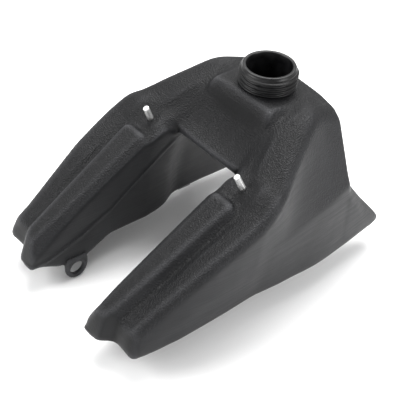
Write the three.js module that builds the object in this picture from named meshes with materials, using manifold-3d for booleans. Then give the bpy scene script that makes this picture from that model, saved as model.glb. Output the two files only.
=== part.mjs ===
// Fuel tank of an off-road motorcycle: a hollow rotomoulded shell that straddles the frame, with a
// threaded filler neck, two moulded-in studs, two strap eyelets and a fuel tap under its left side.
// Millimetres, +Z up, +X towards the steering head, +Y the rider's left.
import * as THREE from 'three';
import { mergeVertices } from 'three/addons/utils/BufferGeometryUtils.js';
import Module from 'manifold-3d';

const wasm = await Module();
wasm.setup();

// ---- driving dimensions ----
const WALL = 4.5;
const GAP = 0.3;
const LIFT = 35;            // height of the leg undersides above the lowest point of the eyelets
const X_SHIFT = 4.3;        // puts the middle of the length on the origin

const NECK_X = 74.4;
const NECK_RIM_Z = 226.3;
const NECK_TILT = -4.4 * Math.PI / 180;
const NECK_LIP_R = 33;
const NECK_BORE_R = 28.5;
const THREAD_ROOT_R = 34.6;
const THREAD_CREST_R = 37.2;
const THREAD_PITCH = 5.5;
const THREAD_TURNS = 4;
const THREAD_TOP = -3.6;
const NECK_FOOT = -36;

const STUD_BASE = [-34.9, 85, 140.2];
const STUD_AXIS = [-0.482, -0.12, 0.868];
const STUD_R = 4;
const STUD_BORE_R = 2.5;
const STUD_HEIGHT = 20;
const STUD_FOOT_R = 5.5;
const STUD_FOOT_DEPTH = 9;
const BOSS_R = 10;

const EYELET_X = -167;
const EYELET_Y = 49;
const EYELET_Z = -19.5;
const EYELET_R = 15.5;
const EYELET_HOLE_R = 9.5;
const EYELET_THICK = 6;

const TAP_X = 60;
const TAP_Y = 114;
const BOLT_SPACING = 34;
const BOLT_R = 3;
const FLANGE_LENGTH = 54;
const FLANGE_WIDTH = 24;
const FLANGE_THICK = 5;
const GASKET_THICK = 1.5;
const SPIGOT_R = 8.5;
const FLOOR_CUT = -5;        // height from which holes pass up through the shell's floor
const INSERT_R = 4.5;
const INSERT_TOP = 11;
const INSERT_BOSS_R = 8.5;
const INSERT_BOSS_TOP = 14;
const FOOT_EXTRA = 2;        // neck foot stands out this far from the thread root
const FOOT_HEIGHT = 6;
const HUB_R = 5.5;
const HUB_GRIP_R = 5;
const HUB_DISC_FROM = 5.3;
const HUB_DISC_TO = 8.3;
const HANDLE_FROM = 14;
const HANDLE_THICK = 5;
const HANDLE_TIP_R = 3;
const SEAL_BORE_R = 2;
const SEAL_FROM = 3.3;
const SEAL_TO = 5;
const WAVE_WASHER_R = 7.2;
const WAVE_WASHER_BORE_R = 5.4;
const WAVE_WASHER_FROM = 8.45;
const WAVE_WASHER_TO = 8.95;
const PLATE_HALF_HEIGHT = 8.2;
const BOLT_WASHER_R = 6;
const BOLT_WASHER_THICK = 1.2;
const BOLT_HEAD_R = 5.7;
const BOLT_HEAD_HEIGHT = 4;
const BOLT_TIP = 9;
const STANDPIPE_R = 4;
const STANDPIPE_BORE_R = 3;
const STANDPIPE_FOOT = -5;
const STANDPIPE_TOP = 42;
const STRAINER_R = 7.6;
const STRAINER_BORE_R = 6.6;
const STRAINER_TOP = 48;
const STRAINER_CAP_RIM = 50;
const STRAINER_CAP_TOP = 51;
const LEVER_Z = -15.5;
const LEVER_REACH = 15;

// ---- materials ----
function finish(color, roughness, metalness) {
  return new THREE.MeshStandardMaterial({ color, roughness, metalness });
}

const BLACK_PLASTIC = finish(0x17181a, 0.55, 0);
const BRIGHT_STEEL = finish(0xc8c9c6, 0.3, 1);
const BRASS = finish(0xb08d4a, 0.4, 1);
const CAST_ZINC = finish(0x8f9294, 0.5, 1);
const RUBBER = finish(0x101010, 0.85, 0);
const WHITE_NYLON = finish(0xd9d6c8, 0.6, 0);

// ---- solids ----
function toManifold(geometry) {
  const bare = new THREE.BufferGeometry();
  bare.setAttribute('position', geometry.getAttribute('position'));
  if (geometry.index) {
    bare.setIndex(geometry.index);
  }
  const merged = mergeVertices(bare, 1e-4);
  const index = merged.index.array;
  const kept = [];
  for (let i = 0; i < index.length; i += 3) {
    const [a, b, c] = [index[i], index[i + 1], index[i + 2]];
    if (a !== b && b !== c && c !== a) {
      kept.push(a, b, c);
    }
  }
  return new wasm.Manifold(new wasm.Mesh({
    numProp: 3,
    vertProperties: new Float32Array(merged.getAttribute('position').array),
    triVerts: new Uint32Array(kept),
  }));
}

function toGeometry(manifold) {
  const result = manifold.getMesh();
  const geometry = new THREE.BufferGeometry();
  geometry.setAttribute('position', new THREE.BufferAttribute(result.vertProperties, 3));
  geometry.setIndex(new THREE.BufferAttribute(result.triVerts, 1));
  return geometry;
}

function cylinder(radius, from, to, segments = 24) {
  const geometry = new THREE.CylinderGeometry(radius, radius, to - from, segments);
  geometry.rotateX(Math.PI / 2);
  geometry.translate(0, 0, (from + to) / 2);
  return geometry;
}

function box(x0, x1, y0, y1, z0, z1) {
  const geometry = new THREE.BoxGeometry(x1 - x0, y1 - y0, z1 - z0);
  geometry.translate((x0 + x1) / 2, (y0 + y1) / 2, (z0 + z1) / 2);
  return geometry;
}

// A ring of rectangular section about Z.
function sleeve(outer, inner, from, to, segments = 24) {
  return lathe([[inner, from], [outer, from], [outer, to], [inner, to], [inner, from]], segments);
}

// Turns a profile of [radius, height] points about Z.
function lathe(profile, segments) {
  const geometry = new THREE.LatheGeometry(profile.map(([r, z]) => new THREE.Vector2(r, z)), segments);
  geometry.rotateX(Math.PI / 2);
  return geometry;
}

// Skins a list of rings of [x, y, z] points and closes both ends with a fan.
function loft(rings) {
  const count = rings[0].length;
  const points = rings.flat();
  const faces = [];
  for (let ring = 0; ring < rings.length - 1; ring += 1) {
    for (let i = 0; i < count; i += 1) {
      const a = ring * count + i;
      const b = ring * count + (i + 1) % count;
      faces.push(a, a + count, b, b, a + count, b + count);
    }
  }
  [rings[0], rings[rings.length - 1]].forEach((ring, end) => {
    const first = end === 0 ? 0 : (rings.length - 1) * count;
    const centre = points.length;
    points.push([0, 1, 2].map((axis) => ring.reduce((sum, p) => sum + p[axis], 0) / count));
    for (let i = 0; i < count; i += 1) {
      const a = first + i;
      const b = first + (i + 1) % count;
      faces.push(...(end === 0 ? [centre, a, b] : [centre, b, a]));
    }
  });
  const geometry = new THREE.BufferGeometry();
  geometry.setAttribute('position', new THREE.BufferAttribute(new Float32Array(points.flat()), 3));
  geometry.setIndex(faces);
  const solid = toManifold(geometry);
  if (solid.volume() > 0) {
    return solid;
  }
  for (let i = 0; i < faces.length; i += 3) {
    [faces[i + 1], faces[i + 2]] = [faces[i + 2], faces[i + 1]];
  }
  geometry.setIndex(faces);
  return toManifold(geometry);
}

// ---- shell sections ----
// Each section of a side lobe is an outline of [y, z] points, in this order: inner foot, inner wall,
// inner edge, block top, ridge, groove, lobe top inside, lobe top outside, outer edge, side, outer
// foot, underside and inner underside.
const LEG_END = [
  [-228.5, 56, 0], [-228, 54, 7], [-225, 57, 22], [-223, 65, 36], [-218.5, 84, 39], [-207, 91, 32],
  [-210.5, 105, 28], [-205, 117, 31], [-208, 124, 22], [-213, 128, 10], [-216, 127, 0],
  [-213, 98, 0], [-230, 85, 0],
];
const LOBE_SECTIONS = [
  [-190, [49, -12], [56, 20], [56, 39], [66, 54], [87, 56.5], [93, 43], [106, 43.5], [117, 45],
    [125, 38], [130, 20], [132, 0], [103, -1], [85, -9]],
  [-150, [48, -12], [57, 30], [57.5, 68], [67, 78.5], [91, 81], [96, 64], [108, 70.5], [124, 74],
    [132, 66], [135.5, 35], [134.5, 0], [103, -1], [85, -9]],
  [-110, [56, 0], [57.5, 45], [58, 93], [68, 103], [94, 105], [99.5, 89], [111, 97], [131, 101],
    [139.5, 93], [139, 50], [134.5, 0], [105, 0], [85, 0]],
  [-78, [57, 0], [58, 60], [58.5, 113.5], [69, 122.5], [97, 125], [102, 108.5], [114, 115],
    [135, 118.5], [143.5, 111], [141, 60], [134, 0], [105, 0], [85, 0]],
  [-60, [57, 0], [58, 65], [58.5, 123], [69, 133], [98, 134], [104, 119.5], [115, 124.5],
    [136, 128], [144.5, 121], [141.5, 65], [133.5, 0], [105, 0], [85, 0]],
  [-48, [57, 0], [58, 70], [58, 126], [69, 129], [86, 130], [100, 130], [113, 132],
    [136, 134], [145, 127], [142, 68], [133, 0], [105, 0], [85, 0]],
  [-30, [60, 0], [60, 75], [57, 134], [70, 141], [86, 144], [98, 147], [110, 149.5], [134, 146],
    [142, 138.5], [140, 72], [133, 0], [106, 0], [86, 0]],
  [-12, [65, 0], [63, 75], [57, 126], [62, 146], [75, 150], [86, 155.5], [108, 156.5], [126, 153.5],
    [134.5, 146], [139, 75], [135, 0], [108, 0], [88, 0]],
  [12, [77, 0], [72, 75], [60, 128], [57, 160], [65, 166], [76, 171.5], [97, 171.5], [110, 169.5],
    [120, 163], [137, 80], [137, 0], [112, 0], [94, 0]],
  [35, [79, 0], [74, 75], [62, 130], [48, 184], [54, 182], [66, 184.5], [83, 185], [97, 182.5],
    [108, 176], [135, 85], [138, 0], [114, 0], [96, 0]],
  [66, [80, 0], [76, 75], [62, 132], [46, 196], [56, 194.5], [65, 197.5], [76, 198], [85, 196],
    [94, 189], [132, 90], [140, 0], [115, 0], [98, 0]],
  [95, [80, 0], [76, 75], [62, 132], [40, 197], [50, 197], [58, 197], [67, 196], [77, 194],
    [86, 187], [129, 95], [139, 0], [115, 0], [98, 0]],
  [128, [80, 0], [76, 75], [62, 132], [30, 192], [45, 190], [55, 188], [66, 186], [77, 182],
    [86, 176], [124, 102], [136, 0], [115, 0], [98, 0]],
  [130, [80, 0], [77, 50], [77, 88], [81, 97], [88, 99], [96, 99], [104, 99], [113, 99],
    [121, 97], [127, 80], [136, 0], [115, 0], [98, 0]],
  [167, [84, 0], [82, 30], [82.5, 51], [86, 58], [93, 60], [100, 60], [107, 60], [115, 60],
    [122, 57], [128.5, 35], [132, 0], [116, 0], [100, 0]],
  [205, [96, 0], [95, 10], [95.5, 16], [98, 21], [102, 23], [107, 23], [112, 23], [117, 23],
    [122, 21], [126.5, 12], [128, 0], [118, 0], [108, 0]],
  [221.4, [106, 0], [106, 2.5], [106.5, 4], [108, 5.4], [110, 6.2], [113, 6.5], [115, 6.5],
    [118, 6.2], [121, 5], [123.5, 3], [124.5, 0], [118, 0], [112, 0]],
];
const FRONT_FACE_X = 128;
const CAVITY_END = { from: 14, blend: 0.7 };

// Half outlines of the bridge between the lobes: ceiling height, then top heights at BRIDGE_Y.
const BRIDGE_Y = [70, 56, 49, 25, 0];
const BRIDGE_SECTIONS = [
  [-12, 126, 145, 141, 139, 136, 135.5],
  [0, 126, 154.5, 151, 148, 143.5, 142],
  [12, 127, 165, 162, 160, 154.5, 153],
  [22, 128, 173, 172, 172, 170, 169],
  [31, 129, 181, 181, 196.5, 197, 197],
  [60, 131, 194.5, 195, 197.5, 198, 198],
  [100, 132, 194, 196, 197.5, 198, 198],
  [118, 132, 187, 191, 193, 196.5, 198],
  [128, 132, 182.5, 186.5, 189, 193, 195],
];

// Moves every side of a closed [y, z] outline inwards by the same distance.
function insetOutline(outline, distance) {
  const count = outline.length;
  const normals = outline.map(([y, z], i) => {
    const [ny, nz] = outline[(i + 1) % count];
    const length = Math.hypot(ny - y, nz - z);
    return [(nz - z) / length, -(ny - y) / length];
  });
  let area = 0;
  outline.forEach(([y, z], i) => {
    const [ny, nz] = outline[(i + 1) % count];
    area += y * nz - ny * z;
  });
  const inward = area > 0 ? -distance : distance;
  return outline.map(([y, z], i) => {
    const [ay, az] = normals[(i + count - 1) % count];
    const [by, bz] = normals[i];
    const scale = inward / Math.max(1 + ay * by + az * bz, 0.6);
    return [y + (ay + by) * scale, z + (az + bz) * scale];
  });
}

function placeOutline(x, outline, side) {
  return outline.map(([y, z]) => [x, side * y, z]);
}

function lobeOuter(side) {
  const end = LEG_END.map(([x, y, z]) => [x, side * y, z]);
  const rings = LOBE_SECTIONS.map(([x, ...outline]) => placeOutline(x, outline, side));
  return loft([end, ...rings]);
}

function lobeCavity(side) {
  const endInset = insetOutline(LEG_END.map(([, y, z]) => [y, z]), WALL);
  const end = endInset.map(([y, z], i) => [LEG_END[i][0] + 2 * WALL, side * y, z]);
  const kept = LOBE_SECTIONS.slice(0, CAVITY_END.from + 1);
  const rings = kept.map(([x, ...outline]) => {
    const shift = x >= FRONT_FACE_X ? WALL : 0;
    return placeOutline(x - shift, insetOutline(outline, WALL), side);
  });
  const [x0, ...near] = LOBE_SECTIONS[CAVITY_END.from];
  const [x1, ...far] = LOBE_SECTIONS[CAVITY_END.from + 1];
  const last = near.map(([y, z], i) => [
    y + (far[i][0] - y) * CAVITY_END.blend,
    z + (far[i][1] - z) * CAVITY_END.blend,
  ]);
  const lastX = x0 + (x1 - x0) * CAVITY_END.blend - WALL;
  rings.push(placeOutline(lastX, insetOutline(last, WALL), side));
  return loft([end, ...rings]);
}

function bridge(distance) {
  const sections = distance ? BRIDGE_SECTIONS.slice(1) : BRIDGE_SECTIONS;
  const rings = sections.map(([x, ceiling, ...tops]) => {
    const right = BRIDGE_Y.map((y, i) => [y, tops[i]]);
    const left = BRIDGE_Y.slice(0, -1).map((y, i) => [-y, tops[i]]).reverse();
    const outline = [[BRIDGE_Y[0], ceiling], ...right, ...left, [-BRIDGE_Y[0], ceiling]];
    const shaped = distance ? insetOutline(outline, distance) : outline;
    const shift = x >= FRONT_FACE_X ? -distance : distance * 0.6;
    return placeOutline(x + shift, shaped, 1);
  });
  return loft(rings);
}

// ---- filler neck ----
function neckMatrix() {
  const turn = new THREE.Matrix4().makeRotationY(NECK_TILT);
  return new THREE.Matrix4().makeTranslation(NECK_X, 0, NECK_RIM_Z).multiply(turn);
}

function neckOuter() {
  const footR = THREAD_ROOT_R + FOOT_EXTRA;
  const profile = [[0, NECK_FOOT], [footR, NECK_FOOT], [footR, NECK_FOOT + FOOT_HEIGHT]];
  for (let turn = THREAD_TURNS - 1; turn >= 0; turn -= 1) {
    const top = THREAD_TOP - turn * THREAD_PITCH;
    profile.push([THREAD_ROOT_R, top - THREAD_PITCH * 0.85]);
    profile.push([THREAD_CREST_R, top - THREAD_PITCH * 0.55]);
    profile.push([THREAD_CREST_R, top - THREAD_PITCH * 0.3]);
  }
  profile.push([NECK_LIP_R, THREAD_TOP + 0.8], [NECK_LIP_R, -1], [NECK_LIP_R - 1, 0], [0, 0]);
  return toManifold(lathe(profile, 40).applyMatrix4(neckMatrix()));
}

function neckBore() {
  return toManifold(cylinder(NECK_BORE_R, NECK_FOOT - 12, 4, 40).applyMatrix4(neckMatrix()));
}

// ---- studs and their bosses ----
function studMatrix(side) {
  const axis = new THREE.Vector3(STUD_AXIS[0], side * STUD_AXIS[1], STUD_AXIS[2]).normalize();
  const turn = new THREE.Quaternion().setFromUnitVectors(new THREE.Vector3(0, 0, 1), axis);
  const place = new THREE.Vector3(STUD_BASE[0], side * STUD_BASE[1], STUD_BASE[2]);
  return new THREE.Matrix4().compose(place, turn, new THREE.Vector3(1, 1, 1));
}

function studBoss(side) {
  return toManifold(cylinder(BOSS_R, -STUD_FOOT_DEPTH - WALL, -2.5, 20).applyMatrix4(studMatrix(side)));
}

function studHole(side) {
  const hole = cylinder(STUD_FOOT_R + GAP, -STUD_FOOT_DEPTH - GAP, STUD_HEIGHT, 20);
  return toManifold(hole.applyMatrix4(studMatrix(side)));
}

function studGeometry() {
  return lathe([
    [0, -STUD_FOOT_DEPTH], [STUD_FOOT_R, -STUD_FOOT_DEPTH], [STUD_FOOT_R, -0.5], [STUD_R, 0],
    [STUD_R, STUD_HEIGHT - 0.8], [STUD_R - 0.8, STUD_HEIGHT], [STUD_BORE_R, STUD_HEIGHT],
    [STUD_BORE_R, 3], [0, 2],
  ], 20);
}

// ---- eyelets ----
function eyelet(side) {
  const shape = new THREE.Shape();
  const spread = EYELET_R + 5;
  const top = -EYELET_Z - 6;
  shape.moveTo(-spread, top);
  shape.absarc(0, 0, EYELET_R, Math.PI * 0.95, Math.PI * 2.05, false);
  shape.lineTo(spread, top);
  shape.closePath();
  const tab = new THREE.ExtrudeGeometry(shape, {
    depth: EYELET_THICK, bevelEnabled: false, curveSegments: 12,
  });
  const hole = cylinder(EYELET_HOLE_R, -1, EYELET_THICK + 1);
  for (const part of [tab, hole]) {
    part.rotateX(Math.PI / 2);
    part.translate(EYELET_X, side * EYELET_Y + EYELET_THICK / 2, EYELET_Z);
  }
  return toManifold(tab).subtract(toManifold(hole));
}

// ---- shell ----
function boltPlaces() {
  return [['front', TAP_X + BOLT_SPACING / 2], ['rear', TAP_X - BOLT_SPACING / 2]];
}

function tankShell() {
  const insertHole = INSERT_R + GAP;
  let solid = lobeOuter(1).add(lobeOuter(-1)).add(bridge(0)).add(neckOuter());
  solid = solid.subtract(lobeCavity(1)).subtract(lobeCavity(-1)).subtract(bridge(WALL));
  solid = solid.subtract(neckBore());
  for (const side of [1, -1]) {
    solid = solid.add(studBoss(side)).add(eyelet(side)).subtract(studHole(side));
  }
  for (const [, x] of boltPlaces()) {
    const boss = cylinder(INSERT_BOSS_R, 1, INSERT_BOSS_TOP, 20).translate(x, TAP_Y, 0);
    const hole = cylinder(insertHole, FLOOR_CUT, INSERT_BOSS_TOP - 1.5, 20).translate(x, TAP_Y, 0);
    solid = solid.add(toManifold(boss)).subtract(toManifold(hole));
  }
  return solid.subtract(toManifold(cylinder(SPIGOT_R + GAP, FLOOR_CUT, 12).translate(TAP_X, TAP_Y, 0)));
}

// ---- fuel tap, in its own frame: the tank's underside is z = 0 ----
const FLANGE_TOP = -2 * GAP - GASKET_THICK;
const FLANGE_BOTTOM = FLANGE_TOP - FLANGE_THICK;
const BODY_HALF = 11;
const BODY_FACE = 9;
const BODY_BOTTOM = -26;
const SPIGOT_TOP = 9;
const DISC_R = 8;
const PLATE_FACE = BODY_FACE + 1.8;
const SCREW_R = 1.3;
const SCREW_X = 8.9;
const SCREW_RISE = 5.4;

function roundedPlate(length, width, z0, z1, holes) {
  const half = length / 2 - width / 2;
  const shape = new THREE.Shape();
  shape.absarc(half, 0, width / 2, -Math.PI / 2, Math.PI / 2, false);
  shape.absarc(-half, 0, width / 2, Math.PI / 2, Math.PI * 1.5, false);
  shape.closePath();
  const plate = new THREE.ExtrudeGeometry(shape, {
    depth: z1 - z0, bevelEnabled: false, curveSegments: 10,
  });
  plate.translate(0, 0, z0);
  return holes.reduce((solid, [x, radius]) => {
    const hole = cylinder(radius, z0 - 1, z1 + 1, 20).translate(x, 0, 0);
    return solid.subtract(toManifold(hole));
  }, toManifold(plate));
}

function boltHoles(radius) {
  return [[BOLT_SPACING / 2, radius], [-BOLT_SPACING / 2, radius]];
}

// Stands a solid turned about Z up along +Y at the lever's axis.
function alongLever(geometry) {
  return geometry.rotateX(-Math.PI / 2).translate(0, 0, LEVER_Z);
}

// The two cover screws sit on a diagonal about the lever's axis, end being 1 or -1.
function screwHole(end) {
  const hole = alongLever(cylinder(SCREW_R + GAP, 0, BODY_FACE + 3, 12));
  return toManifold(hole.translate(end * SCREW_X, 0, end * SCREW_RISE));
}

function coverScrew(end) {
  const screw = lathe([
    [0, 1], [SCREW_R, 1], [SCREW_R, PLATE_FACE + GAP], [2.5, PLATE_FACE + GAP],
    [2.5, PLATE_FACE + 1.7], [1.8, PLATE_FACE + 2], [0, PLATE_FACE + 2],
  ], 12);
  return alongLever(screw).translate(end * SCREW_X, 0, end * SCREW_RISE);
}

function tapBody() {
  const flange = roundedPlate(FLANGE_LENGTH, FLANGE_WIDTH, FLANGE_BOTTOM, FLANGE_TOP,
    boltHoles(BOLT_R + GAP));
  const block = box(-BODY_HALF, BODY_HALF, -BODY_FACE, BODY_FACE, BODY_BOTTOM, FLANGE_BOTTOM + 1);
  const barb = lathe([[0, 0], [3.5, 0], [3.5, 8], [4.3, 9], [3.5, 13], [4.3, 14], [3.2, 18], [0, 18]], 16);
  barb.rotateY(-Math.PI / 2).translate(-BODY_HALF + 1, 0, LEVER_Z - 4.5);
  const barbBore = cylinder(2, -1, 20, 12).rotateY(-Math.PI / 2);
  barbBore.translate(-BODY_HALF + 2, 0, LEVER_Z - 4.5);
  return [
    toManifold(cylinder(SPIGOT_R, FLANGE_TOP - 1, SPIGOT_TOP)), toManifold(block), toManifold(barb),
  ].reduce((sum, solid) => sum.add(solid), flange)
    .subtract(toManifold(barbBore))
    .subtract(toManifold(cylinder(4 + GAP, -6, SPIGOT_TOP + 1, 16)))
    .subtract(toManifold(alongLever(cylinder(DISC_R + GAP, 3, BODY_FACE + 1))))
    .subtract(screwHole(1)).subtract(screwHole(-1));
}

function tapLever() {
  const arm = new THREE.Shape();
  arm.absarc(0, 0, HUB_R, -Math.PI * 0.4, Math.PI * 0.4, false);
  arm.absarc(-LEVER_REACH + HANDLE_TIP_R, 0, HANDLE_TIP_R, Math.PI * 0.5, Math.PI * 1.5, false);
  arm.closePath();
  const handle = new THREE.ExtrudeGeometry(arm, {
    depth: HANDLE_THICK, bevelEnabled: false, curveSegments: 8,
  });
  handle.translate(0, 0, HANDLE_FROM);
  const hub = lathe([
    [0, HUB_DISC_FROM], [DISC_R - GAP, HUB_DISC_FROM], [DISC_R - GAP, HUB_DISC_TO],
    [HUB_GRIP_R, HUB_DISC_TO], [HUB_GRIP_R, HANDLE_FROM + 1], [0, HANDLE_FROM + 1],
  ], 24);
  return toManifold(alongLever(handle)).add(toManifold(alongLever(hub)));
}

function coverPlate() {
  const plate = box(-BODY_HALF, BODY_HALF, BODY_FACE + GAP, PLATE_FACE,
    LEVER_Z - PLATE_HALF_HEIGHT, LEVER_Z + PLATE_HALF_HEIGHT);
  const opening = alongLever(cylinder(HUB_R, BODY_FACE - 1, BODY_FACE + 3, 20));
  const solid = toManifold(plate).subtract(toManifold(opening));
  return solid.subtract(screwHole(1)).subtract(screwHole(-1));
}

// ---- assembly ----
const tank = new THREE.Group();
const shellFrame = new THREE.Group();
shellFrame.position.set(X_SHIFT, 0, LIFT);
tank.add(shellFrame);

const tapFrame = new THREE.Group();
tapFrame.position.set(TAP_X, TAP_Y, 0);
shellFrame.add(tapFrame);

function piece(parent, name, shape, material) {
  const geometry = shape.getMesh ? toGeometry(shape) : shape;
  const mesh = new THREE.Mesh(geometry, material);
  mesh.name = name;
  parent.add(mesh);
  return mesh;
}

piece(shellFrame, 'tank_shell', tankShell(), BLACK_PLASTIC);
for (const [name, side] of [['stud_left', 1], ['stud_right', -1]]) {
  const stud = piece(shellFrame, name, studGeometry(), BRIGHT_STEEL);
  stud.applyMatrix4(studMatrix(side));
}

piece(tapFrame, 'tap_gasket', roundedPlate(FLANGE_LENGTH, FLANGE_WIDTH, -GAP - GASKET_THICK, -GAP,
  [[0, SPIGOT_R + GAP], ...boltHoles(BOLT_R + GAP)]), RUBBER);
piece(tapFrame, 'tap_body', tapBody(), CAST_ZINC);
piece(tapFrame, 'valve_seal', alongLever(sleeve(DISC_R - GAP, SEAL_BORE_R, SEAL_FROM, SEAL_TO)), RUBBER);
piece(tapFrame, 'tap_lever', tapLever(), CAST_ZINC);
piece(tapFrame, 'wave_washer', alongLever(sleeve(WAVE_WASHER_R, WAVE_WASHER_BORE_R,
  WAVE_WASHER_FROM, WAVE_WASHER_TO)), BRIGHT_STEEL);
piece(tapFrame, 'lever_plate', coverPlate(), BRIGHT_STEEL);
for (const [name, end] of [['front', 1], ['rear', -1]]) {
  piece(tapFrame, `plate_screw_${name}`, coverScrew(end), BRIGHT_STEEL);
}
for (const [end, worldX] of boltPlaces()) {
  const x = worldX - TAP_X;
  const insert = sleeve(INSERT_R, BOLT_R + GAP, GAP, INSERT_TOP).translate(x, 0, 0);
  piece(tapFrame, `tap_insert_${end}`, insert, BRASS);
  const washerTop = FLANGE_BOTTOM - GAP;
  const washerBottom = washerTop - BOLT_WASHER_THICK;
  const washer = sleeve(BOLT_WASHER_R, BOLT_R + GAP, washerBottom, washerTop).translate(x, 0, 0);
  piece(tapFrame, `bolt_washer_${end}`, washer, BRIGHT_STEEL);
  const headTop = washerBottom - GAP;
  const head = toManifold(cylinder(BOLT_HEAD_R, headTop - BOLT_HEAD_HEIGHT, headTop, 6));
  const bolt = head.add(toManifold(cylinder(BOLT_R, headTop - 1, BOLT_TIP, 16)));
  piece(tapFrame, `mount_bolt_${end}`, bolt, BRIGHT_STEEL).position.x = x;
}
piece(tapFrame, 'standpipe', sleeve(STANDPIPE_R, STANDPIPE_BORE_R,
  STANDPIPE_FOOT, STANDPIPE_TOP, 16), BRASS);
piece(tapFrame, 'strainer', sleeve(STRAINER_R, STRAINER_BORE_R,
  SPIGOT_TOP + GAP, STRAINER_TOP, 20), WHITE_NYLON);
piece(tapFrame, 'strainer_cap', lathe([
  [0, STRAINER_TOP + GAP], [STRAINER_R, STRAINER_TOP + GAP], [STRAINER_R, STRAINER_CAP_RIM],
  [STRAINER_R - 1.6, STRAINER_CAP_TOP], [0, STRAINER_CAP_TOP],
], 20), WHITE_NYLON);

export default tank;
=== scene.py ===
"""Fuel tank: soft rotomoulded shell, helical filler thread, studs and tap finishes around the CAD frame."""
import math

import bpy
import numpy as np
from mathutils import Matrix, Vector


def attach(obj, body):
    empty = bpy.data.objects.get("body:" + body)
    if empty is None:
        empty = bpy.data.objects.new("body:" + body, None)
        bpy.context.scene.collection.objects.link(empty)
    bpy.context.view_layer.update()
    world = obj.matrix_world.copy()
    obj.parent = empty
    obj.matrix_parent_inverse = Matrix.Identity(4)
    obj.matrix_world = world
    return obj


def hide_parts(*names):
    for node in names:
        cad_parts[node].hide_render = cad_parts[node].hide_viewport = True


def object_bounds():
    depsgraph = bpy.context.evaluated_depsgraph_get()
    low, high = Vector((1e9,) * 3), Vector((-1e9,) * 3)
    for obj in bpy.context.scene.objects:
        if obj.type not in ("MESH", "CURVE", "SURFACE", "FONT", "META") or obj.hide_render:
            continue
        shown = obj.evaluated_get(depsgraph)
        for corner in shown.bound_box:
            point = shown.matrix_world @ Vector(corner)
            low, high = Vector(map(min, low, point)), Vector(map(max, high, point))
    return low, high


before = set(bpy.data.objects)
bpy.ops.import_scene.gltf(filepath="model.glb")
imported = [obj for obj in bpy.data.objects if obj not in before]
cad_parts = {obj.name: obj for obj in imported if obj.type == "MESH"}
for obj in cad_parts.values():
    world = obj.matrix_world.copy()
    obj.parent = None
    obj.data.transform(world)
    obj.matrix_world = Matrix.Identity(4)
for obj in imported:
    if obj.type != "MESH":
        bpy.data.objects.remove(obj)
cad_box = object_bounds()

MM = 0.001
X_SHIFT = 4.3
LIFT = 35.0
BODY = "tank"

# ---- shell dimensions, in millimetres, in the shell's own frame ----
VOXEL = 2.0
WALL = 4.5
SOFTNESS = 3.2               # how far the blur rounds the edges
BAND = 14.0                  # distances past this carry no shape
BRIDGE_BLEND = 5.0
DISH_R, DISH_RISE, DISH_BLEND = 25.5, 23.0, 4.0
BEAD_HEIGHT, BEAD_WIDTH = 1.3, 2.0
NECK_BLEND = 4.5
EYELET_FLARE = 0.35
EYELET_TOP = 17.0
RELAX_ROUNDS = 4

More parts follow.
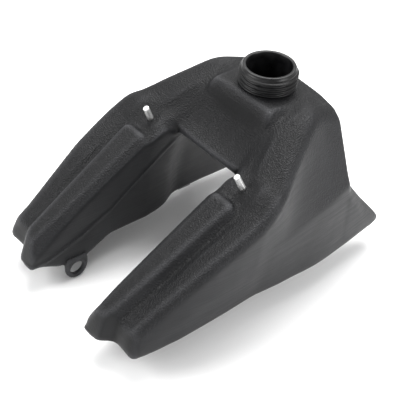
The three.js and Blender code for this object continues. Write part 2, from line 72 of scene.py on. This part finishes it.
# Outlines of one side lobe, as in the CAD model: inner foot, inner wall, inner edge, block top, ridge,
# groove, lobe top inside, lobe top outside, outer edge, side, outer foot, underside, inner underside.
LOBE = [
    (-236, (55, 0), (55, 3), (55.5, 7), (66, 26), (84, 28), (90, 16), (104, 12), (115, 12),
     (122, 8), (126, 4), (126, 0), (103, 0), (85, 0)),
    (-212, (54, -4), (54.5, 7), (55, 21), (66, 41), (85, 43), (91.5, 30), (104, 29), (116, 30.5),
     (124, 23), (128, 10), (128.5, 0), (103, 0), (85, -2)),
    (-190, (50, -12), (55, 20), (56, 40), (66, 54), (87, 56.5), (93.5, 42), (106, 43), (117, 45),
     (125, 38), (130, 20), (132, 0), (103, -1), (85, -9)),
    (-150, (49, -13), (57, 30), (57.5, 68), (67, 78.5), (91, 81), (96.5, 63), (108, 70), (124, 73.5),
     (132, 66), (135.5, 35), (134.5, 0), (103, -1), (85, -9)),
    (-110, (56, 0), (57.5, 45), (58, 93), (68, 103), (94, 105), (99.5, 88), (111, 97), (131, 101),
     (139.5, 93), (139, 50), (134.5, 0), (105, 0), (85, 0)),
    (-78, (57, 0), (58, 60), (58.5, 113.5), (69, 122.5), (97, 125), (102, 108.5), (114, 115),
     (135, 118.5), (143.5, 111), (141, 60), (134, 0), (105, 0), (85, 0)),
    (-61, (57, 0), (58, 65), (58.5, 123), (69, 133), (98, 134.5), (104, 119.5), (115, 124.5),
     (136, 128), (144.5, 121), (141.5, 65), (133.5, 0), (105, 0), (85, 0)),
    (-50, (57, 0), (58, 70), (58, 125), (69, 127.5), (86, 127), (100, 127), (113, 131),
     (136, 134), (145, 127), (142, 68), (133, 0), (105, 0), (85, 0)),
    (-30, (60, 0), (60, 75), (57, 134), (70, 140), (86, 142), (98, 144), (110, 149.5), (134, 147),
     (142, 139), (140, 72), (133, 0), (106, 0), (86, 0)),
    (-12, (65, 0), (63, 75), (57, 126), (62, 146), (75, 149), (86, 155.5), (108, 156.5), (126, 153.5),
     (134.5, 146), (139, 75), (135, 0), (108, 0), (88, 0)),
    (12, (77, 0), (72, 75), (60, 128), (57, 160), (64, 164), (76, 172), (97, 172), (110, 169.5),
     (120, 163), (137, 80), (137, 0), (112, 0), (94, 0)),
    (35, (79, 0), (74, 75), (62, 130), (48, 184), (56, 181), (66, 185.5), (83, 185.5), (97, 182.5),
     (108, 176), (135, 85), (138, 0), (114, 0), (96, 0)),
    (66, (80, 0), (76, 75), (62, 132), (46, 196), (57, 193.5), (66, 198.5), (77, 199), (86, 196.5),
     (94, 189), (132, 90), (140, 0), (115, 0), (98, 0)),
    (95, (80, 0), (76, 75), (62, 132), (40, 197), (50, 197), (58, 197.5), (67, 197), (77, 194.5),
     (86, 187), (129, 95), (139, 0), (115, 0), (98, 0)),
    (128, (80, 0), (76, 75), (62, 132), (30, 192), (45, 190), (55, 188), (66, 186), (77, 182),
     (86, 176), (124, 102), (136, 0), (115, 0), (98, 0)),
    (130, (80, 0), (77, 50), (77, 88), (81, 97), (88, 99), (96, 99), (104, 99), (113, 99),
     (121, 97), (127, 80), (136, 0), (115, 0), (98, 0)),
    (167, (84, 0), (82, 30), (82.5, 51), (86, 58), (93, 60), (100, 60), (107, 60), (115, 60),
     (122, 57), (128.5, 35), (132, 0), (116, 0), (100, 0)),
    (205, (96, 0), (95, 10), (95.5, 16), (98, 21), (102, 23), (107, 23), (112, 23), (117, 23),
     (122, 21), (126.5, 12), (128, 0), (118, 0), (108, 0)),
    (221.4, (106, 0), (106, 2.5), (106.5, 4), (108, 5.4), (110, 6.2), (113, 6.5), (115, 6.5),
     (118, 6.2), (121, 5), (123.5, 3), (124.5, 0), (118, 0), (112, 0)),
]
SMOOTH_FROM, SMOOTH_TO = -50, 128

# The leg's end face: distance across, then where it stands at the bottom and how it leans with height.
LEG_END = ((45, -228.5, 0.12), (60, -229, 0.2), (81, -230.5, 0.3), (91, -214.5, 0.22),
           (99, -213.5, 0.16), (112, -215, 0.2), (122, -216.5, 0.33), (130, -214, 0.4))

# Bridge between the lobes: ceiling, then the top over BRIDGE_Y.
BRIDGE_Y = (70, 56, 49, 25, 0)
BRIDGE = [
    (-14, 126, 143, 140, 138, 135.5, 135),
    (0, 126, 154.5, 150, 146, 142, 140.5),
    (12, 127, 165, 161, 157.5, 152, 150),
    (22, 128, 173, 171, 171, 166, 164.5),
    (28, 129, 177, 177, 189, 188, 187),
    (32, 129, 181, 181, 197, 197.5, 197.5),
    (60, 131, 194.5, 194, 198, 198, 198),
    (100, 132, 194, 196, 198, 198, 198),
    (118, 132, 187, 191, 193, 196.5, 198),
    (130, 132, 182.5, 186.5, 189, 193, 195),
]

NECK_X, NECK_RIM_Z = 74.4, 226.3
NECK_TILT = math.radians(-4.4)
NECK_LIP_R, NECK_BORE_R, NECK_FOOT_R = 33.0, 28.5, 36.4
THREAD_ROOT_R, THREAD_CREST_R, THREAD_PITCH = 34.4, 37.1, 5.5
THREAD_TOP, THREAD_BOTTOM, NECK_FOOT = -3.4, -27.0, -34.0

STUD_BASE = Vector((-34.9, 85, 140.2))
STUD_AXIS = Vector((-0.482, -0.12, 0.868)).normalized()
STUD_R, STUD_BORE_R, STUD_HEIGHT = 4.0, 2.5, 20.0

EYELET = (-167, 49, -19.5)
EYELET_R, EYELET_HOLE_R, EYELET_HALF = 15.5, 9.5, 3.0
TAP_X, TAP_Y = 60, 114
BOLT_SPACING = 34
SPIGOT_HOLE_R, INSERT_HOLE_R = 8.8, 4.8
INSERT_BOSS_R, INSERT_BOSS_TOP = 8.5, 14
PARTING = (
    (-228, 2), (-205, 6), (-156, 22), (-110, 43), (-81, 65), (-51, 87), (-7, 116), (40, 124), (130, 126),
)


def mirrored(vector):
    return Vector((vector.x, -vector.y, vector.z))


# ---- signed distance field of the shell ----
def polygon_distance(points, y, z):
    """Signed distance from the grid points (y, z) to a closed outline, negative inside."""
    nearest = np.full(y.shape, 1e9)
    sign = np.ones(y.shape)
    count = len(points)
    for i in range(count):
        (y0, z0), (y1, z1) = points[i], points[i - 1]
        ey, ez = y1 - y0, z1 - z0
        wy, wz = y - y0, z - z0
        t = np.clip((wy * ey + wz * ez) / max(ey * ey + ez * ez, 1e-9), 0, 1)
        nearest = np.minimum(nearest, (wy - ey * t) ** 2 + (wz - ez * t) ** 2)
        above, below = z >= z0, z < z1
        left = ey * wz > ez * wy
        crossing = (above & below & left) | (~above & ~below & ~left)
        sign = np.where(crossing, -sign, sign)
    return sign * np.sqrt(nearest)


def stations(rows):
    xs = np.array([row[0] for row in rows], float)
    values = np.array([np.ravel(row[1:]) for row in rows], float)
    return xs, values


def section_at(xs, values, x):
    """The outline values at x: a smooth curve through the stations between the two step places."""
    x = min(max(x, xs[0]), xs[-1])
    i = int(np.clip(np.searchsorted(xs, x) - 1, 0, len(xs) - 2))
    span = xs[i + 1] - xs[i]
    t = (x - xs[i]) / span
    low, high = values[i], values[i + 1]
    if not (SMOOTH_FROM <= xs[i] and xs[i + 1] <= SMOOTH_TO):
        return low + (high - low) * t
    before = (high - values[i - 1]) / (xs[i + 1] - xs[i - 1]) if xs[i] > SMOOTH_FROM else (high - low) / span
    after = (high - low) / span
    if xs[i + 1] < SMOOTH_TO:
        after = (values[i + 2] - low) / (xs[i + 2] - xs[i])
    t2, t3 = t * t, t * t * t
    return ((2 * t3 - 3 * t2 + 1) * low + (t3 - 2 * t2 + t) * span * before
            + (3 * t2 - 2 * t3) * high + (t3 - t2) * span * after)


def smooth_min(a, b, radius):
    h = np.clip(0.5 + 0.5 * (b - a) / radius, 0, 1)
    return b + (a - b) * h - radius * h * (1 - h)


def smooth_max(a, b, radius):
    return -smooth_min(-a, -b, radius)


def blur(field, sigma):
    reach = int(math.ceil(2.5 * sigma))
    kernel = np.exp(-0.5 * (np.arange(-reach, reach + 1) / sigma) ** 2)
    kernel /= kernel.sum()
    for axis in range(3):
        padded = np.pad(field, [(reach, reach) if a == axis else (0, 0) for a in range(3)], mode="edge")
        total = np.zeros_like(field)
        for k, weight in enumerate(kernel):
            window = [slice(None)] * 3
            window[axis] = slice(k, k + field.shape[axis])
            total += weight * padded[tuple(window)]
        field = total
    return field


def axis_frame(origin, direction, x, y, z):
    """Height along a direction and distance from its axis."""
    dx, dy, dz = x - origin[0], y - origin[1], z - origin[2]
    height = dx * direction[0] + dy * direction[1] + dz * direction[2]
    radius = np.sqrt(np.maximum(dx * dx + dy * dy + dz * dz - height * height, 0))
    return height, radius


def shell_field(x, y, z):
    """The shell's field for the half with y >= 0, which the other half mirrors."""
    grid_y, grid_z = np.meshgrid(y, z, indexing="ij")
    lobe_x, lobe_values = stations(LOBE)
    bridge_x, bridge_values = stations(BRIDGE)
    end_y = [row[0] for row in LEG_END]
    end_x = np.interp(grid_y, end_y, [row[1] for row in LEG_END])
    end_lean = np.interp(grid_y, end_y, [row[2] for row in LEG_END])
    end_face = end_x + end_lean * np.maximum(grid_z, 0)
    outer = np.empty((len(x), len(y), len(z)), np.float32)
    for i, station in enumerate(x):
        outline = section_at(lobe_x, lobe_values, station).reshape(-1, 2)
        lobe = polygon_distance(outline, grid_y, grid_z)
        lobe = np.maximum(np.maximum(lobe, (end_face - station) * 0.9), station - lobe_x[-1])
        tops = section_at(bridge_x, bridge_values, station)
        half = list(zip(BRIDGE_Y, tops[1:]))
        other = [(-py, pz) for py, pz in reversed(half[:-1])]
        outline = [(BRIDGE_Y[0], tops[0])] + half + other + [(-BRIDGE_Y[0], tops[0])]
        bridge = polygon_distance(outline, grid_y, grid_z)
        bridge = np.maximum(np.maximum(bridge, bridge_x[0] - station), station - bridge_x[-1])
        outer[i] = np.clip(smooth_min(lobe, bridge, BRIDGE_BLEND), -BAND, BAND)
    return blur(outer, SOFTNESS / VOXEL)


def carve(field, x, y, z):
    """Adds the fine forms to the soft outer field, then hollows it."""
    gx, gy, gz = np.meshgrid(x, y, z, indexing="ij", sparse=True)
    # dished floor round the stud
    centre = STUD_BASE + STUD_AXIS * DISH_RISE
    dish = np.sqrt((gx - centre.x) ** 2 + (gy - centre.y) ** 2 + (gz - centre.z) ** 2) - DISH_R
    outer = smooth_max(field, -dish, DISH_BLEND)
    # moulded bead along the parting line on the inner walls and under the bridge
    line = np.interp(x, [p[0] for p in PARTING], [p[1] for p in PARTING])[:, None, None]
    inner_side = np.clip((74 - gy) / 6, 0, 1) * (gx < 118)
    outer = outer - BEAD_HEIGHT * inner_side * np.exp(-((gz - line) / BEAD_WIDTH) ** 2)
    axis = (math.sin(NECK_TILT), 0.0, math.cos(NECK_TILT))
    height, radius = axis_frame((NECK_X, 0, NECK_RIM_Z), axis, gx, gy, gz)
    foot = np.maximum(radius - NECK_FOOT_R, np.maximum(height - (NECK_FOOT + 5), NECK_FOOT - 4 - height))
    outer = smooth_min(outer, foot, NECK_BLEND)
    slope = np.sqrt(sum(part ** 2 for part in np.gradient(field, VOXEL)))
    depth = field / np.maximum(slope, 1)
    hollow = np.maximum(outer, -(depth + WALL))
    ex, ey, ez = EYELET
    spread = np.maximum(gz - ez, 0) * EYELET_FLARE
    ring = np.sqrt((gx - ex) ** 2 + (gz - ez) ** 2) - EYELET_R - spread
    tab = np.maximum(np.maximum(ring, np.abs(gy - ey) - EYELET_HALF), gz - (ez + EYELET_TOP))
    hole = np.sqrt((gx - ex) ** 2 + (gz - ez) ** 2) - EYELET_HOLE_R
    hollow = smooth_min(hollow, tab, 2.0)
    hollow = np.maximum(hollow, -np.maximum(hole, np.abs(gy - ey) - 6))
    bore = np.maximum(radius - NECK_BORE_R - 1.5, NECK_FOOT - 14 - height)
    return np.maximum(hollow, -bore)


def surface_nets(field, origin, step):
    """Polygonises the zero surface of a field: one vertex in each cell that it crosses."""
    shape = np.array(field.shape) - 1
    inside = field < 0
    total = np.zeros((*shape, 3), np.float32)
    count = np.zeros(shape, np.float32)
    for axis in range(3):
        others = [a for a in range(3) if a != axis]
        for u in (0, 1):
            for v in (0, 1):
                low = [slice(0, n) for n in shape]
                low[others[0]] = slice(u, u + shape[others[0]])
                low[others[1]] = slice(v, v + shape[others[1]])
                high = list(low)
                high[axis] = slice(1, 1 + shape[axis])
                a, b = field[tuple(low)], field[tuple(high)]
                crossed = inside[tuple(low)] != inside[tuple(high)]
                t = np.where(crossed, a / np.where(crossed, a - b, 1), 0)
                offset = np.zeros(3)
                offset[others[0]], offset[others[1]] = u, v
                for k in range(3):
                    total[..., k] += np.where(crossed, t if k == axis else offset[k], 0)
                count += crossed
    active = count > 0
    index = np.full(shape, -1, np.int64)
    index[active] = np.arange(int(active.sum()))
    cells = np.argwhere(active)
    vertices = (cells + total[active] / count[active][:, None]) * step + np.array(origin)
    quads = []
    for axis in range(3):
        u, v = [a for a in range(3) if a != axis]
        low = [slice(1, n) for n in shape]
        low[axis] = slice(0, shape[axis])
        high = list(low)
        high[axis] = slice(1, 1 + shape[axis])
        a, b = inside[tuple(low)], inside[tuple(high)]
        where = np.argwhere(a != b)
        start = np.array([0 if k == axis else 1 for k in range(3)])
        base = where + start
        leaving = a[tuple(where.T)]
        corner = []
        for du, dv in ((0, 0), (1, 0), (1, 1), (0, 1)):
            cell = base.copy()
            cell[:, u] -= du
            cell[:, v] -= dv
            corner.append(index[tuple(cell.T)])
        quad = np.stack(corner, 1)
        flip = leaving if axis != 1 else ~leaving
        quad[~flip] = quad[~flip][:, ::-1]
        quads.append(quad)
    return vertices, np.concatenate(quads)


def relax(vertices, quads, rounds):
    """Evens the net out without shrinking it."""
    edges = np.concatenate([quads[:, [k, (k + 1) % 4]] for k in range(4)])
    degree = np.bincount(edges[:, 0], minlength=len(vertices)).astype(float)
    for factor in (0.55, -0.57) * rounds:
        mean = np.empty_like(vertices)
        for k in range(3):
            mean[:, k] = np.bincount(edges[:, 0], vertices[edges[:, 1], k], len(vertices)) / degree
        vertices = vertices + factor * (mean - vertices)
    return vertices


def to_object(name, vertices, faces, smooth=True):
    """A mesh object from points in the shell's frame, in millimetres."""
    mesh = bpy.data.meshes.new(name)
    points = (np.asarray(vertices, float) + np.array((X_SHIFT, 0, LIFT))) * MM
    mesh.from_pydata(points.tolist(), [], [tuple(int(i) for i in face) for face in faces])
    mesh.validate()
    mesh.update()
    if smooth:
        mesh.shade_smooth()
    obj = bpy.data.objects.new(name, mesh)
    bpy.context.scene.collection.objects.link(obj)
    return obj


def fit_tap(field, x, y, z):
    """Bosses and holes in the left lobe's floor for the fuel tap and its two inserts."""
    gx, gy, gz = np.meshgrid(x, y, z, indexing="ij", sparse=True)
    for end in (-1, 1):
        reach = np.hypot(gx - TAP_X - end * BOLT_SPACING / 2, gy - TAP_Y)
        boss = np.maximum(reach - INSERT_BOSS_R, np.maximum(gz - INSERT_BOSS_TOP, 1 - gz))
        field = smooth_min(field, boss, 1.0)
        field = np.maximum(field, -np.maximum(reach - INSERT_HOLE_R, gz - INSERT_BOSS_TOP + 1.5))
    spigot = np.hypot(gx - TAP_X, gy - TAP_Y) - SPIGOT_HOLE_R
    return np.maximum(field, -np.maximum(spigot, gz - 12))


def build_skin():
    x = np.arange(-240, 230, VOXEL)
    y = np.arange(0, 152, VOXEL) - VOXEL / 2
    z = np.arange(-42, 240, VOXEL)
    half = carve(shell_field(x, y, z), x, y, z).astype(np.float32)
    whole = np.concatenate([half[:, :0:-1], half[:, 1:]], axis=1)
    across = np.concatenate([-y[:0:-1], y[1:]])
    whole = fit_tap(whole, x, across, z).astype(np.float32)
    vertices, quads = surface_nets(whole, (x[0], across[0], z[0]), VOXEL)
    return relax(vertices, quads, RELAX_ROUNDS), quads


# ---- crisp parts of the shell ----
def neck_point(radius, angle, height):
    """A point of the filler neck in the shell's frame."""
    axis = Vector((math.sin(NECK_TILT), 0, math.cos(NECK_TILT)))
    across = Vector((math.cos(NECK_TILT), 0, -math.sin(NECK_TILT)))
    side = Vector((0, 1, 0))
    centre = Vector((NECK_X, 0, NECK_RIM_Z)) + axis * height
    return centre + (across * math.cos(angle) + side * math.sin(angle)) * radius


def thread_radius(angle, height):
    """Outer radius of the neck: one rounded helical thread that fades in and out at its two ends."""
    turn = (THREAD_TOP - height) / THREAD_PITCH - angle / math.tau
    ends = min(max(THREAD_TOP - height, 0), max(height - THREAD_BOTTOM, 0)) / THREAD_PITCH
    lift = max(0.0, math.cos(turn % 1.0 * math.tau)) ** 0.7
    return THREAD_ROOT_R + (THREAD_CREST_R - THREAD_ROOT_R) * lift * min(1.0, ends * 1.6)


def neck_profile():
    """Heights and base radii round the neck wall, from the foot outside to the foot inside."""
    rows = [(NECK_FOOT - 3, NECK_FOOT_R), (NECK_FOOT + 1, NECK_FOOT_R)]
    rows += [(-30.5, NECK_FOOT_R - 0.4), (-29, 35.2)]
    steps = 60
    for i in range(steps + 1):
        rows.append((THREAD_BOTTOM - 1 + (THREAD_TOP - THREAD_BOTTOM + 1) * i / steps, None))
    rows += [(-2.6, 33.7), (-1.5, NECK_LIP_R), (-0.6, NECK_LIP_R - 0.1), (-0.15, NECK_LIP_R - 0.5)]
    rows += [(0, NECK_LIP_R - 1.2), (0, NECK_BORE_R + 1.4), (-0.3, NECK_BORE_R + 0.5), (-1.1, NECK_BORE_R)]
    return rows + [(-12, NECK_BORE_R), (-28, NECK_BORE_R), (NECK_FOOT - 9, NECK_BORE_R + 0.4)]


def build_neck():
    profile = neck_profile()
    around = 240
    vertices = []
    for height, base in profile:
        for k in range(around):
            angle = math.tau * k / around
            radius = thread_radius(angle, height) if base is None else base
            vertices.append(neck_point(radius, angle, height))
    faces = []
    for i in range(len(profile) - 1):
        for k in range(around):
            low, high = i * around, (i + 1) * around
            following = (k + 1) % around
            faces.append((low + k, low + following, high + following, high + k))
    return vertices, faces


def build_stud(flip):
    """A hollow stud with a rolled thread, a chamfered tip and a plain foot."""
    axis = STUD_AXIS.copy()
    base = STUD_BASE.copy()
    if flip:
        axis, base = mirrored(axis), mirrored(base)
    side = axis.orthogonal().normalized()
    up = axis.cross(side)
    rows = [(-6, STUD_R), (0, STUD_R), (0.7, STUD_R)]
    count = 66
    for i in range(count + 1):
        rows.append((1.0 + (STUD_HEIGHT - 2.2) * i / count, None))
    rows += [(STUD_HEIGHT - 0.5, STUD_R - 0.35), (STUD_HEIGHT, STUD_R - 0.8)]
    rows += [(STUD_HEIGHT, STUD_BORE_R + 0.3), (STUD_HEIGHT - 0.4, STUD_BORE_R)]
    rows += [(STUD_HEIGHT - 12, STUD_BORE_R), (STUD_HEIGHT - 13, 0.05)]
    around = 48
    vertices = []
    for height, base_radius in rows:
        for k in range(around):
            angle = math.tau * k / around
            wave = math.cos((height - angle / math.tau) * math.tau)
            radius = base_radius if base_radius is not None else STUD_R - 0.18 + 0.17 * wave
            radial = side * math.cos(angle) + up * math.sin(angle)
            vertices.append(base + axis * height + radial * radius)
    faces = []
    for i in range(len(rows) - 1):
        for k in range(around):
            following = (k + 1) % around
            low, high = i * around, (i + 1) * around
            faces.append((low + k, low + following, high + following, high + k))
    return vertices, faces


# ---- materials ----
class Nodes:
    """A small builder for one node material."""

    def __init__(self, name, **values):
        self.material = bpy.data.materials.new(name)
        self.material.use_nodes = True
        self.tree = self.material.node_tree
        self.shader = self.tree.nodes["Principled BSDF"]
        for key, value in values.items():
            self.shader.inputs[key.replace("_", " ")].default_value = value
        self.place = self.add("ShaderNodeNewGeometry").outputs["Position"]
        self.normal = self.add("ShaderNodeNewGeometry").outputs["Normal"]

    def add(self, kind, **settings):
        node = self.tree.nodes.new(kind)
        for key, value in settings.items():
            setattr(node, key, value)
        return node

    def link(self, source, target):
        self.tree.links.new(source, target)

    def noise(self, scale, detail=3.0, stretch=None):
        node = self.add("ShaderNodeTexNoise")
        node.inputs["Scale"].default_value = scale
        node.inputs["Detail"].default_value = detail
        vector = self.place
        if stretch:
            mapping = self.add("ShaderNodeMapping")
            mapping.inputs["Scale"].default_value = stretch
            self.link(vector, mapping.inputs["Vector"])
            vector = mapping.outputs["Vector"]
        self.link(vector, node.inputs["Vector"])
        return node.outputs["Fac"]

    def cells(self, scale):
        node = self.add("ShaderNodeTexVoronoi", feature="SMOOTH_F1")
        node.inputs["Scale"].default_value = scale
        self.link(self.place, node.inputs["Vector"])
        return node.outputs["Distance"]

    def spread(self, source, low, high, out_low, out_high):
        node = self.add("ShaderNodeMapRange")
        for key, value in zip(("From Min", "From Max", "To Min", "To Max"), (low, high, out_low, out_high)):
            node.inputs[key].default_value = value
        self.link(source, node.inputs["Value"])
        return node.outputs["Result"]

    def maths(self, operation, a, b):
        node = self.add("ShaderNodeMath", operation=operation)
        for socket, value in zip(node.inputs, (a, b)):
            if isinstance(value, (int, float)):
                socket.default_value = value
            else:
                self.link(value, socket)
        return node.outputs["Value"]

    def mix(self, factor, a, b, target):
        node = self.add("ShaderNodeMix", data_type="RGBA")
        node.inputs["A"].default_value = (*a, 1)
        node.inputs["B"].default_value = (*b, 1)
        self.link(factor, node.inputs["Factor"])
        self.link(node.outputs["Result"], self.shader.inputs[target])

    def bump(self, height, distance, strength=1.0, after=None):
        node = self.add("ShaderNodeBump")
        node.inputs["Distance"].default_value = distance
        node.inputs["Strength"].default_value = strength
        self.link(height, node.inputs["Height"])
        if after:
            self.link(after, node.inputs["Normal"])
        return node.outputs["Normal"]

    def finish_with(self, normal):
        self.link(normal, self.shader.inputs["Normal"])
        return self.material


def skin_material():
    """Black polyethylene: pebbled above, smooth and satin on the sides, with a painted highlight on convex
    edges and painted light on the side faces.
    """
    n = Nodes("black_polyethylene", Specular_IOR_Level=0.2)
    parts = n.add("ShaderNodeSeparateXYZ")
    n.link(n.normal, parts.inputs["Vector"])
    up = n.spread(parts.outputs["Z"], 0.22, 0.5, 0, 1)
    # painted light: faces turned towards the sides are lightened in the base colour
    flank = n.maths("ABSOLUTE", parts.outputs["Y"], 0)
    side = n.spread(flank, 0.45, 0.9, 0, 1)
    patch = n.noise(26, 3)
    pebble = n.cells(640)
    streak = n.noise(60, 4, stretch=(0.25, 1, 6))
    # painted highlight: convex edges (pointiness) are lightened in the base colour
    edge = n.spread(n.add("ShaderNodeNewGeometry").outputs["Pointiness"], 0.503, 0.528, 0, 1)
    # painted edge highlight and painted side light together lift the base colour; the patch noise mottles
    # them
    painted_edge_and_side_light = n.maths("MAXIMUM", n.maths("MULTIPLY", edge, 0.9), n.maths("MULTIPLY", side, 0.36))
    mottled_painted_light = n.maths("MULTIPLY", painted_edge_and_side_light, n.spread(patch, 0.3, 0.7, 0.75, 1))
    shade = n.maths("ADD", mottled_painted_light, n.maths("MULTIPLY", n.maths("MULTIPLY", pebble, up), 0.25))
    n.mix(shade, (0.0022, 0.0023, 0.0027), (0.046, 0.0465, 0.05), "Base Color")
    roughness = n.add("ShaderNodeMix")
    n.link(up, roughness.inputs["Factor"])
    n.link(n.spread(streak, 0.3, 0.7, 0.34, 0.46), roughness.inputs["A"])
    n.link(n.spread(patch, 0.3, 0.7, 0.44, 0.54), roughness.inputs["B"])
    n.link(roughness.outputs["Result"], n.shader.inputs["Roughness"])
    grain = n.bump(n.maths("MULTIPLY", pebble, up), 0.0014, 0.75)
    lines = n.bump(n.maths("MULTIPLY", streak, side), 0.0007, 0.3, after=grain)
    fine = n.bump(n.noise(1500, 4), 0.00012, 0.5, after=lines)
    return n.finish_with(n.bump(n.noise(18, 2), 0.0025, 0.35, after=fine))


def neck_material():
    """The same polyethylene, machined and glossier on the thread."""
    n = Nodes("black_polyethylene_thread", Specular_IOR_Level=0.34)
    wear = n.noise(90, 4)
    n.mix(n.spread(wear, 0.35, 0.7, 0, 1), (0.003, 0.003, 0.0033), (0.007, 0.007, 0.0076), "Base Color")
    n.link(n.spread(wear, 0.3, 0.7, 0.27, 0.42), n.shader.inputs["Roughness"])
    return n.finish_with(n.bump(n.noise(700, 3), 0.00015, 0.5))


def metal_material(name, dark, light, rough, scale):
    n = Nodes(name, Metallic=1.0)
    wear = n.noise(scale, 5)
    n.mix(n.spread(wear, 0.35, 0.68, 0, 1), dark, light, "Base Color")
    polish = n.spread(n.noise(scale * 2.3, 3), 0.3, 0.7, rough - 0.08, rough + 0.1)
    n.link(polish, n.shader.inputs["Roughness"])
    return n.finish_with(n.bump(n.noise(scale * 9, 3), 0.0001, 0.4))


def soft_material(name, dark, light, rough, scale, sheen=0.0):
    n = Nodes(name, Coat_Weight=sheen)
    n.mix(n.spread(n.noise(scale, 4), 0.35, 0.7, 0, 1), dark, light, "Base Color")
    polish = n.spread(n.noise(scale * 2, 3), 0.3, 0.7, rough - 0.06, rough + 0.06)
    n.link(polish, n.shader.inputs["Roughness"])
    return n.finish_with(n.bump(n.noise(scale * 12, 2), 0.0001, 0.4))


def floor_material():
    n = Nodes("pale_floor", Roughness=0.9)
    n.mix(n.noise(3, 2), (0.93, 0.93, 0.93), (0.95, 0.95, 0.95), "Base Color")
    return n.finish_with(n.bump(n.noise(60, 2), 0.0002, 0.1))


# ---- putting it together ----
def clothe(obj, material, slot, *nodes):
    """Gives a new piece its material and the CAD nodes that it stands in for; slot is not used."""
    obj.data.materials.append(material)
    if nodes:
        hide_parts(*nodes)
    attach(obj, BODY)


def make_shell():
    vertices, quads = build_skin()
    skin = to_object("moulded_skin", vertices, quads)
    clothe(skin, skin_material(), "black_polyethylene", "tank_shell")
    vertices, faces = build_neck()
    neck = to_object("filler_neck", vertices, faces)
    clothe(neck, neck_material(), "black_polyethylene")


def make_studs():
    metal = metal_material("zinc_plated_steel_stud", (0.78, 0.78, 0.78), (0.95, 0.95, 0.94), 0.42, 240)
    for side, flip in (("left", False), ("right", True)):
        vertices, faces = build_stud(flip)
        if flip:
            faces = [face[::-1] for face in faces]
        stud = to_object(f"threaded_stud_{side}", vertices, faces)
        clothe(stud, metal, "zinc_plated_steel", f"stud_{side}")


def dress_hardware():
    """Procedural materials on the CAD nodes that stay visible."""
    zinc = metal_material("zinc_plated_steel_hardware", (0.4, 0.4, 0.42), (0.66, 0.66, 0.67), 0.3, 180)
    brass = metal_material("brass_insert", (0.5, 0.34, 0.12), (0.78, 0.58, 0.26), 0.3, 200)
    cast = metal_material("cast_alloy_tap", (0.3, 0.3, 0.31), (0.5, 0.5, 0.51), 0.46, 120)
    rubber = soft_material("fuel_rubber_seal", (0.01, 0.01, 0.01), (0.025, 0.025, 0.025), 0.62, 160)
    nylon = soft_material("natural_nylon_strainer", (0.55, 0.52, 0.43), (0.75, 0.72, 0.62), 0.42, 140, 0.1)
    looks = {
        "tap_gasket": rubber, "valve_seal": rubber,
        "tap_body": cast, "tap_lever": cast,
        "wave_washer": zinc, "lever_plate": zinc, "plate_screw_front": zinc, "plate_screw_rear": zinc,
        "bolt_washer_front": zinc, "bolt_washer_rear": zinc,
        "mount_bolt_front": zinc, "mount_bolt_rear": zinc,
        "tap_insert_front": brass, "tap_insert_rear": brass, "standpipe": brass,
        "strainer": nylon, "strainer_cap": nylon,
    }
    for name, material in looks.items():
        for part_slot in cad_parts[name].material_slots:
            part_slot.material = material


def make_floor():
    size = 6.0
    mesh = bpy.data.meshes.new("floor")
    z = cad_box[0][2] - 0.0005
    corners = [(-size, -size, z), (size, -size, z), (size, size, z), (-size, size, z)]
    mesh.from_pydata(corners, [], [(0, 1, 2, 3)])
    floor = bpy.data.objects.new("floor", mesh)
    bpy.context.scene.collection.objects.link(floor)
    mesh.materials.append(floor_material())


def aim(obj, position, target):
    obj.location = position
    obj.rotation_euler = (Vector(target) - Vector(position)).to_track_quat("-Z", "Y").to_euler()


def add_light(name, position, size, energy, target=(0, 0, 0.12)):
    data = bpy.data.lights.new(name, "AREA")
    data.shape = "RECTANGLE"
    data.size, data.size_y = size
    data.energy = energy
    lamp = bpy.data.objects.new(name, data)
    bpy.context.scene.collection.objects.link(lamp)
    aim(lamp, position, target)


def make_light():
    world = bpy.data.worlds.new("studio")
    world.use_nodes = True
    world.node_tree.nodes["Background"].inputs["Color"].default_value = (1, 1, 1, 1)
    world.node_tree.nodes["Background"].inputs["Strength"].default_value = 0.6
    bpy.context.scene.world = world
    bpy.context.scene.view_settings.view_transform = "Standard"
    add_light("top_softbox", (0.45, 0.5, 1.7), (1.5, 1.2), 44)
    add_light("left_softbox", (0.5, -1.5, 1.0), (0.8, 1.1), 16)
    add_light("rim_softbox", (-1.2, 0.6, 1.0), (0.8, 0.8), 16)


CAMERA_TARGET = Vector((-0.0106, -0.0027, 0.0913))
CAMERA_DISTANCE = 1.0194
CAMERA_AZIMUTH = math.radians(-46.03)
CAMERA_ELEVATION = math.radians(38.34)
CAMERA_ROLL = math.radians(8.13)
CAMERA_LENS = 71.97


def make_camera():
    sin_a, cos_a = math.sin(CAMERA_AZIMUTH), math.cos(CAMERA_AZIMUTH)
    sin_e, cos_e = math.sin(CAMERA_ELEVATION), math.cos(CAMERA_ELEVATION)
    back = Vector((sin_a * cos_e, -cos_a * cos_e, sin_e))
    right = (-back).cross(Vector((0, 0, 1))).normalized()
    up = right.cross(-back)
    turned_right = right * math.cos(CAMERA_ROLL) + up * math.sin(CAMERA_ROLL)
    turned_up = up * math.cos(CAMERA_ROLL) - right * math.sin(CAMERA_ROLL)
    matrix = Matrix((turned_right, turned_up, back)).transposed().to_4x4()
    matrix.translation = CAMERA_TARGET + back * CAMERA_DISTANCE
    data = bpy.data.cameras.new("camera")
    data.lens = CAMERA_LENS
    data.sensor_width = 36
    camera = bpy.data.objects.new("camera", data)
    camera.matrix_world = matrix
    bpy.context.scene.collection.objects.link(camera)
    bpy.context.scene.camera = camera


make_shell()
make_studs()
dress_hardware()
make_floor()
make_light()
make_camera()
